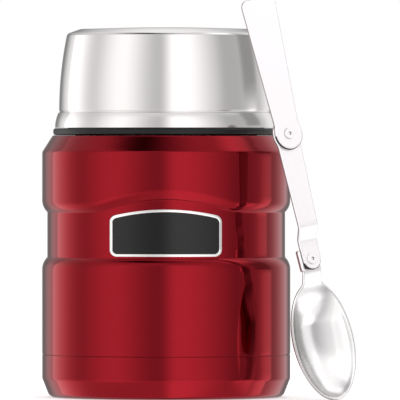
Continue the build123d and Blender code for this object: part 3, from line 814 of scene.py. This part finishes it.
# Rotation about axis 0, 1 or 2.
def turnAbout(axis, degrees):
    c, s = math.cos(math.radians(degrees)), math.sin(math.radians(degrees))
    i, j = [(1, 2), (2, 0), (0, 1)][axis]
    made = np.eye(3)
    made[i, i] = made[j, j] = c
    made[i, j], made[j, i] = -s, s
    return made


upright = np.array([[1, 0, 0], [0, 0, -1], [0, 1, 0]], float)
leaning = turnAbout(0, -spoon["tilt"]) @ turnAbout(2, spoon["roll"])
spoonTurn = turnAbout(2, spoon["yaw"]) @ upright @ leaning


def toJar(points):  # from the spoon's own axes, with the upper rivet at their origin
    return points @ spoonTurn.T + np.array(spoon["upperRivet"])


# Half width of a strip with round ends: the belt round two circles given as (y, radius).
def beltHalf(y, lower, upper):
    (lowY, lowR), (highY, highR) = lower, upper
    lean = (highR - lowR) / (highY - lowY)
    run = math.sqrt(1 - lean * lean)
    flank = (lowR + lean * (y - lowY)) / run
    flank = np.where(y < lowY - lowR * lean, 0, flank)
    flank = np.where(y > highY - highR * lean, 0, flank)
    ends = [np.sqrt(np.maximum(r * r - (y - at) ** 2, 0)) for at, r in (lower, upper)]
    return np.maximum(flank, np.maximum(*ends))


# The larger of two half widths, with the inside corner between them filled softly.
def softUnion(first, second, soft):
    return np.maximum(first, second) + soft * np.exp(-np.abs(first - second) / soft) * 0.5


# A half outline on the right, from its lowest point to its highest, is spaced evenly and mirrored.
def mirrored(side, count):
    side = evenly(side, count // 2 + 1)
    return np.concatenate([side, side[-2:0:-1] * [-1, 1]])


# A closed outline from a half width along y.
def outlineFrom(half, low, high, count):
    y = (low + high) / 2 - (high - low) / 2 * np.cos(np.linspace(0, np.pi, 1201))
    x = half(y)
    x[0] = x[-1] = 0
    return mirrored(np.stack([x, y], 1), count)


# Points on a circle's arc between two angles.
def arcOf(centre, radius, start, end):
    swing = np.linspace(start, end, 60)
    return np.array(centre) + radius * np.stack([np.cos(swing), np.sin(swing)], 1)


# Outline of a strip with a wider round joint about the origin: an arc of the joint, a hollow blend arc
# that touches it and the strip's flank, and an arc about the far end's centre, to which the flank leans.
def earedOutline(joint, root, endCentre, endRadius, blend):
    distance = math.hypot(*endCentre)
    lean = math.acos((root - endRadius) / distance) - math.atan2(endCentre[1], endCentre[0])
    outward = np.array([math.cos(lean), -math.sin(lean)])
    ahead = np.array([math.sin(lean), math.cos(lean)])
    hollow = outward * (root + blend) + ahead * math.sqrt((joint + blend) ** 2 - (root + blend) ** 2)
    meet = math.atan2(hollow[1], hollow[0])
    side = [
        arcOf((0, 0), joint, -np.pi / 2, meet),
        arcOf(hollow, blend, meet + np.pi, np.pi - lean),
        arcOf(endCentre, endRadius, -lean, np.pi / 2),
        [[0.0, endCentre[1] + endRadius]],
    ]
    return mirrored(np.concatenate(side), 420)


faceRings, edgeRings = 14, 7
edgeShadeBand = (edgeShadeSteel, np.arange(faceRings + 1, faceRings + edgeRings - 2))  # the edge's middle, in painted shade


# The whole edge of a strip's round end, below a given height on its outline, where it lies on the strip
# beneath: it takes painted shade.
def shadedEndBand(outline, below):
    rows = np.arange(faceRings, faceRings + edgeRings - 1)
    return paintedShadeSteel, rows, np.flatnonzero(outline[:, 1] < below)


# A sheet with a rounded edge. Its middle surface is place(a, b), filled by rows that run from a spine on
# a = 0 out to a flat outline. Both faces lie half a thickness along the surface's normal, and the edge is
# a half circle about the outline.
def thickSheet(outline, spine, place, thickness, rings=faceRings):
    core = outline.copy()
    ahead = np.roll(core, -1, 0) - np.roll(core, 1, 0)
    outward = np.stack([ahead[:, 1], -ahead[:, 0]], 1)
    outward /= np.linalg.norm(outward, axis=1)[:, None]
    if (outward * core).sum() < 0:
        outward = -outward
    half = thickness / 2
    core = core - outward * half
    centre = np.stack([0 * core[:, 0], np.clip(core[:, 1], *spine)], 1)
    shares = np.linspace(0, 1, rings)[:, None, None]
    flat = centre + (core - centre) * shares

    def normals(ab):  # the cross product of the surface's slopes along a and b
        step = 0.02
        da = place(ab + [step, 0]) - place(ab - [step, 0])
        db = place(ab + [0, step]) - place(ab - [0, step])
        n = np.cross(da, db)
        return n / np.linalg.norm(n, axis=-1)[..., None]

    middle, up = place(flat), normals(flat)
    front, back = middle + up * half, middle - up * half
    rim, rimUp = middle[-1], up[-1]
    away = place(core + outward * 0.05) - rim
    away -= (away * rimUp).sum(-1)[:, None] * rimUp
    away /= np.linalg.norm(away, axis=-1)[:, None]
    swing = np.linspace(0, np.pi, edgeRings + 2)[1:-1][:, None, None]
    edge = rim + half * (np.cos(swing) * rimUp + np.sin(swing) * away)
    return np.concatenate([front, edge, back[::-1]])


# Height between two levels along a strip, with a soft bend at each end.
def stepBetween(b, start, run, high, low, soft=0.7):
    slope = (high - low) / run
    top = b - start
    bottom = b - (start - run)

    def ramp(x):  # nothing below zero and x above it, with a round corner between
        return (x + np.sqrt(x * x + soft * soft)) / 2

    return low + slope * (ramp(bottom) - ramp(top))


# A flat plate with a round joint at its foot, which widens upwards to two round corners.
def makeHandle():
    s = spoon
    end = (s["handleWidth"] / 2 - s["handleCorner"], s["handleLength"] - s["handleCorner"])
    outline = earedOutline(s["handleJoint"], s["rootWidth"] / 2, end, s["handleCorner"], s["blend"])

    def place(ab):  # flat, half a thickness behind its face
        return np.stack([ab[..., 0], ab[..., 1], 0 * ab[..., 0] - s["strip"] / 2], -1)

    points = toJar(thickSheet(outline, (0.0, end[1] - 4.0), place, s["strip"]))
    steel = (satinSteel, "handle", "spoon_steel")
    # The edge's middle and the lower half of the joint's edge take painted shade.
    bands = [edgeShadeBand, shadedEndBand(outline, 0.0)]
    piece = gridPiece("spoonHandle", points, False, *steel, ["spoon_handle"], bands=bands)
    piece.visible_glossy = False  # the cup's mirror stays clear of it


# The same outline the other way up, with both ends round, stepped back by the joggle between them.
def makeLink():
    s = spoon
    start = -s["linkLength"] + s["joggleStart"]
    end = (0.0, s["linkLength"])
    outline = earedOutline(s["linkUpper"], s["rootWidth"] / 2, end, s["linkLower"], s["blend"])
    outline = outline * [1, -1]

    def place(ab):  # stepped back by the joggle on its way down
        face = stepBetween(ab[..., 1], start, s["joggleRun"], linkFace, linkLowFace)
        return np.stack([ab[..., 0], ab[..., 1], face - s["strip"] / 2], -1)

    points = toJar(thickSheet(outline, (-s["linkLength"], 0.0), place, s["strip"]))
    # The edge's middle and the lower half of the lower end's edge take painted shade.
    bands = [edgeShadeBand, shadedEndBand(outline, -s["linkLength"] - 1.5)]
    gridPiece("spoonLink", points, False, satinSteel, "link", "spoon_steel", ["spoon_link"], bands=bands)


# A neck on the lower rivet that runs down into a bowl: a part of an ellipsoid cut off by the rim.
def makeBowl():
    s = spoon
    rivet = -s["linkLength"]
    heel = rivet - s["neckLength"]
    tip = heel - s["bowlLength"]
    middle = (heel + tip) / 2
    wide, long = s["bowlWidth"] / 2, s["bowlLength"] / 2
    depth = s["bowlDepth"] + s["bowlMiddle"] + s["overshoot"]
    share = math.sqrt(1 - (s["overshoot"] / depth) ** 2)
    a, b = (wide - s["bowlRim"]) / share, (long - s["bowlRim"]) / share

    # The bowl's ellipse and the neck's strip, which meet in a small hollow on each side.
    def half(y):
        ellipse = wide * np.sqrt(np.maximum(1 - ((y - middle) / long) ** 2, 0))
        neck = beltHalf(y, (heel - s["neckRoot"], s["neckWidth"] / 2), (rivet, s["neckJoint"]))
        joined = softUnion(ellipse, neck, s["neckHollow"]) * (np.maximum(ellipse, neck) > 0)
        return np.where(y < heel - s["neckRoot"] - 3.0, ellipse, joined)

    outline = outlineFrom(half, tip, rivet + s["neckJoint"], 640)

    # The neck's cranked strip runs down into the bowl's ellipsoid over a ramp behind the heel.
    def place(ab):
        x, y = ab[..., 0], ab[..., 1]
        bend = rivet - s["neckBend"]
        face = stepBetween(y, bend, s["neckRun"], neckFace, rimFace, s["neckSoft"])
        strip = face - s["strip"] / 2
        inside = np.maximum(1 - (x / a) ** 2 - ((y - middle) / b) ** 2, 1e-4)
        rim = rimFace - s["bowlMiddle"]
        dish = np.minimum(rim + s["overshoot"] - depth * np.sqrt(inside), rim)
        ramp = smooth(np.clip((y - heel + s["heelRamp"]) / (s["heelRamp"] - 0.5), 0, 1))
        return np.stack([x, y, dish * (1 - ramp) + strip * ramp], -1)

    rings = 30
    points = toJar(thickSheet(outline, (tip + 9.0, rivet), place, s["bowlWall"], rings))
    # The middle of the bowl's edge takes painted shade.
    edge = (edgeShadeSteel, np.arange(rings + 3, rings + edgeRings - 2))
    steel = (polishedSteel, "bowl", "spoon_steel")
    gridPiece("spoonBowl", points, False, *steel, ["spoon_bowl"], bands=[edge])


# The bent-up tab beside the lower rivet: a strip whose middle line leaves the neck's edge sideways and
# turns forwards, along the lean of the link's flank.
def makeTab():
    s = spoon
    rivet, inner = -s["linkLength"], s["linkLower"] + s["tabGap"]
    side, back = -inner - s["strip"] / 2, neckFace - s["strip"] / 2
    lean = math.degrees(math.asin((s["rootWidth"] / 2 - s["linkLower"]) / s["linkLength"]))
    crest = linkLowFace + s["tabProud"]
    corners = [(-inner + s["tabRoot"], back, 0), (side, back, s["tabBend"]), (side, crest, 0)]
    path = roundedPath(corners, step=0.4, arcStep=6)
    travel = travelOf(path)
    half, reach, corner = travel[-1] / 2, s["tabLength"] / 2, s["tabCorner"]

    def place(ab):  # wrapped along the path, then turned by the lean
        at = np.clip(ab[..., 0] + half, 0, 2 * half)
        x, z = np.interp(at, travel, path[:, 0]), np.interp(at, travel, path[:, 1])
        return np.stack([x, ab[..., 1], z], -1) @ turnAbout(2, lean).T + [0, rivet, 0]

    corners = [(i * half, j * reach, corner) for i, j in ((-1, -1), (1, -1), (1, 1), (-1, 1))]
    outline = roundedPath(corners, closed=True, step=0.4)
    points = toJar(thickSheet(outline, (corner - reach, reach - corner), place, s["strip"], rings=8))
    gridPiece("neckTab", points, False, satinSteel, "bowl", "spoon_steel")


# A headed rivet: a turned section with a dimple in its front head, set on its axis at a height y.
def makeRivet(name, body, y, front, node):
    s = spoon
    head, shank, seat = s["rivetHead"], s["rivetShank"], 0.03
    back = front - 2 * s["strip"] - s["layer"]
    top, bottom = front + s["rivetHeight"], back - s["rivetHeight"]
    floor, mouth, depth = s["dimple"]
    corners = [
        (0, top - depth, 0),
        (floor, top - depth, 0.15),
        (mouth, top, 0.12),
        (head - 0.15, top, s["rivetRound"]),
        (head, front + seat, 0),
        (shank, front + seat, 0),
        (shank, back - seat, 0),
        (head, back - seat, 0),
        (head, bottom, 0.35),
        (0, bottom, 0),
    ]
    section = roundedPath(corners, step=0.4)
    angle = np.linspace(0, 2 * np.pi, 72, endpoint=False)[None]
    r, z = section[:, :1], section[:, 1:]
    points = np.stack([r * np.cos(angle), r * np.sin(angle) + y, z + 0 * angle], -1)
    radius, height = section.T
    inDimple = (radius > floor - 0.1) & (radius < mouth + 0.01)
    underHead = (radius > head - 0.08) & (height > front) & (height < (front + top) / 2)
    bands = [(paintedShadeSteel, np.flatnonzero(inDimple | underHead))]  # painted shade in the dimple and under the head
    gridPiece(name, toJar(points), False, satinSteel, body, "spoon_steel", [node], bands=bands)


makeHandle()
makeLink()
makeBowl()
makeTab()
makeRivet("upperRivet", "handle", 0.0, 0.0, "spoon_rivet_upper")
makeRivet("lowerRivet", "link", -spoon["linkLength"], linkLowFace, "spoon_rivet_lower")
print("stage: spoon made")


# The pieces that keep their own meshes get their finishes.
def dressInside():
    # Acrylic foam tape: soft black with an open grain.
    tape = makeMoulded("blackFoamTape", "#1B1B1B", 0.75, 0.9, 0.3, 0.02)
    # Aluminium foil, rolled: pale and bright, crumpled a little where it wraps the liner.
    foil = makeSteel("rolledAluminiumFoil", "#DBDEE0", 0.15, 0.25, 6.0, 0.02, (1, 1, 3))
    # Sintered getter metal: dull dark grey, granular.
    getter = makeSteel("sinteredGetterMetal", "#6B6966", 0.6, 0.75, 0.2, 0.01, (1, 1, 1))
    # Nickel braze, run and set: yellowish grey with a wavy skin.
    braze = makeSteel("nickelBraze", "#9E9985", 0.25, 0.35, 1.0, 0.01, (1, 1, 1))
    # Expanded foam: off-white beads of about 2 mm.
    foam = makeMoulded("expandedInsulatingFoam", "#E6E3D9", 0.7, 0.85, 2.0, 0.08)
    finishes = {
        "badge_adhesive": tape,
        "foil_shield": foil,
        "getter": getter,
        "getter_bracket": vesselSteel,
        "seal_plug": braze,
        "stopper_foam": foam,
        "vacuum_bottom": vesselSteel,
    }
    for node, finish in finishes.items():
        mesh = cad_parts[node].data
        mesh.materials.clear()
        mesh.materials.append(finish)


dressInside()
print("stage: inner pieces finished")

# Each card, or flag where its level is negative, is a soft-edged patch of sky: four azimuths, from the
# front to the right, and four elevations, where it starts to rise, is full, starts to fall and is gone,
# in degrees, and the level that it adds to the ambient light.
allRound = (-400, -399, 399, 400)
studio = {
    "backdrop": 1.0,  # what the camera sees behind the jar
    "ambient": 0.62,
    "cards": {
        "leftRearStrip": ((-133, -129.5, -129, -78), (-50, -20, 14, 40), 0.66),
        "leftRearGlow": ((-160, -131, -130, -78), (-50, -20, 6, 24), 0.34),
        "leftRearFlag": ((-400, -399, -160, -136), (-92, -91, 8, 28), -0.36),
        "leftSoftbox": ((-98, -50, -50, -8), (-45, -15, 26, 48), 0.64),
        "rightSoftbox": ((-7, 11, 15, 71), (-90, -80, 26, 48), 0.77),
        "rightFlag": ((55, 70, 84, 96), (-50, -20, 26, 48), -0.1),
        "rightRearStrip": ((94, 107, 113.5, 116.5), (-50, -20, -4, 3), 0.9),
        "rightCupFlag": ((88, 97, 112, 120), (1, 6, 40, 52), -0.28),
        "rightRearGlow": ((116, 140, 146, 158), (-50, -20, 26, 48), 0.36),
        "rightRearFlag": ((146, 162, 399, 400), (-92, -91, 8, 28), -0.36),
        "rightTable": ((66, 76, 92, 100), (-38, -30, -18, -10), 0.6),
        "table": (allRound, (-92, -91, -24, -8), 0.27),
        "overhead": (allRound, (26, 48, 91, 92), 0.18),
        "leftOverheadFlag": ((-114, -36, -36, 57), (48, 59, 68, 84), -0.74),
        "rightOverhead": ((66, 91, 100, 116), (28, 44, 60, 70), 0.6),
        "leftTopCard": ((-400, -399, -166, -146), (24, 42, 56, 72), 0.3),
        "rightTopCard": ((146, 166, 399, 400), (24, 42, 56, 72), 0.3),
        "top": (allRound, (66, 84, 91, 92), 0.5),
    },
    "lampsAway": 0.7,  # from the bowl to each lamp that lights the spoon alone
    # Azimuth and elevation in degrees, width and height in metres, and radiance.
    "spoonLamps": {
        "under": (97.0, -36.0, 0.5, 0.36, 0.7),
        "side": (84.0, 2.0, 0.42, 1.0, 0.9),
        "front": (-27.0, 0.0, 0.9, 1.6, 0.8),
        "upper": (30.0, 56.0, 1.4, 0.85, 0.8),
    },
}
# The floor's radius and drop are in metres.
floorPlan = {"radius": 0.7, "drop": 0.0002, "sides": 96, "colour": "#FFFFFF", "glow": 0.45}
cameraPlan = {"place": (12.8, -3200.0, 95.0), "aim": (12.8, 0.0, 74.5), "lens": 760.0, "sensor": 36.0}


# A soft-edged plateau: the product of a smooth rise and a smooth fall.
def plateau(tree, value, marks):
    sides = []
    for start, end, low, high in ((*marks[:2], 0.0, 1.0), (*marks[2:], 1.0, 0.0)):
        inputs = {"Value": value, "From Min": start, "From Max": end, "To Min": low, "To Max": high}
        side = addNode(tree, "ShaderNodeMapRange", inputs, interpolation_type="SMOOTHSTEP")
        sides.append(side.outputs["Result"])
    return addNode(tree, "ShaderNodeMath", dict(enumerate(sides)), operation="MULTIPLY").outputs[0]


# The lights round the jar are painted on the sky by direction. Only the camera sees the white backdrop.
def makeStudio():
    world = bpy.data.worlds.new("studio")
    bpy.context.scene.world = world
    world.use_nodes = True
    tree = world.node_tree
    tree.nodes.clear()
    way = addNode(tree, "ShaderNodeTexCoord").outputs["Generated"]
    parts = addNode(tree, "ShaderNodeSeparateXYZ", {"Vector": way}).outputs
    ahead = addNode(tree, "ShaderNodeMath", {0: parts["Y"], 1: -1.0}, operation="MULTIPLY").outputs[0]
    around = addNode(tree, "ShaderNodeMath", {0: parts["X"], 1: ahead}, operation="ARCTAN2").outputs[0]
    rise = addNode(tree, "ShaderNodeMath", {0: parts["Z"]}, operation="ARCSINE").outputs[0]
    azimuth = addNode(tree, "ShaderNodeMath", {0: around}, operation="DEGREES").outputs[0]
    elevation = addNode(tree, "ShaderNodeMath", {0: rise}, operation="DEGREES").outputs[0]
    total = studio["ambient"]
    for acrossMarks, upMarks, level in studio["cards"].values():
        both = {0: plateau(tree, azimuth, acrossMarks), 1: plateau(tree, elevation, upMarks)}
        share = addNode(tree, "ShaderNodeMath", both, operation="MULTIPLY").outputs[0]
        added = {0: share, 1: level, 2: total}
        total = addNode(tree, "ShaderNodeMath", added, operation="MULTIPLY_ADD").outputs[0]
    white = (1, 1, 1, 1)
    light = addNode(tree, "ShaderNodeBackground", {"Strength": total, "Color": white})
    seen = addNode(tree, "ShaderNodeBackground", {"Strength": studio["backdrop"], "Color": white})
    isCamera = addNode(tree, "ShaderNodeLightPath").outputs["Is Camera Ray"]
    mixed = addNode(tree, "ShaderNodeMixShader", {0: isCamera, 1: light.outputs[0], 2: seen.outputs[0]})
    addNode(tree, "ShaderNodeOutputWorld", {"Surface": mixed.outputs[0]})


# Lamps that light the spoon alone, because its steel faces another way than the jar's. An area lamp's
# power is four times its radiance for each square metre.
def makeSpoonLamps():
    lit = bpy.data.collections.new("spoonPieces")
    for name in ("spoonHandle", "spoonLink", "spoonBowl", "neckTab", "upperRivet", "lowerRivet"):
        lit.objects.link(bpy.data.objects[name])
    low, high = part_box("spoon_bowl")
    for name, (across, upward, width, height, radiance) in studio["spoonLamps"].items():
        azimuth, elevation = math.radians(across), math.radians(upward)
        flat = math.cos(elevation)
        way = Vector((flat * math.sin(azimuth), -flat * math.cos(azimuth), math.sin(elevation)))
        data = bpy.data.lights.new(name + "Lamp", "AREA")
        data.shape = "RECTANGLE"
        data.size, data.size_y = width, height
        data.energy = radiance * 4 * width * height
        lamp = bpy.data.objects.new(name + "Lamp", data)
        bpy.context.scene.collection.objects.link(lamp)
        lamp.location = (low + high) / 2 + way * studio["lampsAway"]
        lamp.rotation_mode = "QUATERNION"
        lamp.rotation_quaternion = way.to_track_quat("Z", "Y")
        lamp.light_linking.receiver_collection = lit
        lamp.light_linking.blocker_collection = lit


# Matt white paper, lit a little from below, so that it runs out into the backdrop.
def makeFloor():
    white = fromHex(floorPlan["colour"])
    looks = {"Base Color": white, "Roughness": 0.9, "Specular IOR Level": 0.1}
    looks |= {"Emission Color": white, "Emission Strength": floorPlan["glow"]}
    paper = newMaterial("whiteStudioPaper", **looks)[0]
    angle = np.linspace(0, 2 * np.pi, floorPlan["sides"], endpoint=False)
    ring = np.stack([np.cos(angle), np.sin(angle), 0 * angle], 1) * floorPlan["radius"]
    mesh = bpy.data.meshes.new("studioFloor")
    mesh.from_pydata(ring - [0, 0, floorPlan["drop"]], [], [list(range(floorPlan["sides"]))])
    mesh.materials.append(paper)
    floor = bpy.data.objects.new("studioFloor", mesh)
    bpy.context.scene.collection.objects.link(floor)
    floor.visible_glossy = False  # steel and lacquer mirror the cards below it


# A long lens far off, level with the jar's middle, so that upright edges stay upright.
def makeCamera():
    data = bpy.data.cameras.new("studioCamera")
    data.lens = cameraPlan["lens"]
    data.sensor_width = cameraPlan["sensor"]
    data.clip_start, data.clip_end = 0.1, 50.0
    camera = bpy.data.objects.new("studioCamera", data)
    bpy.context.scene.collection.objects.link(camera)
    place, aim = Vector(cameraPlan["place"]) * mm, Vector(cameraPlan["aim"]) * mm
    camera.location = place
    camera.rotation_mode = "QUATERNION"
    camera.rotation_quaternion = (aim - place).to_track_quat("-Z", "Y")
    bpy.context.scene.camera = camera


makeStudio()
makeSpoonLamps()
makeFloor()
makeCamera()
bpy.context.scene.view_settings.view_transform = "Standard"
print("stage: studio made")
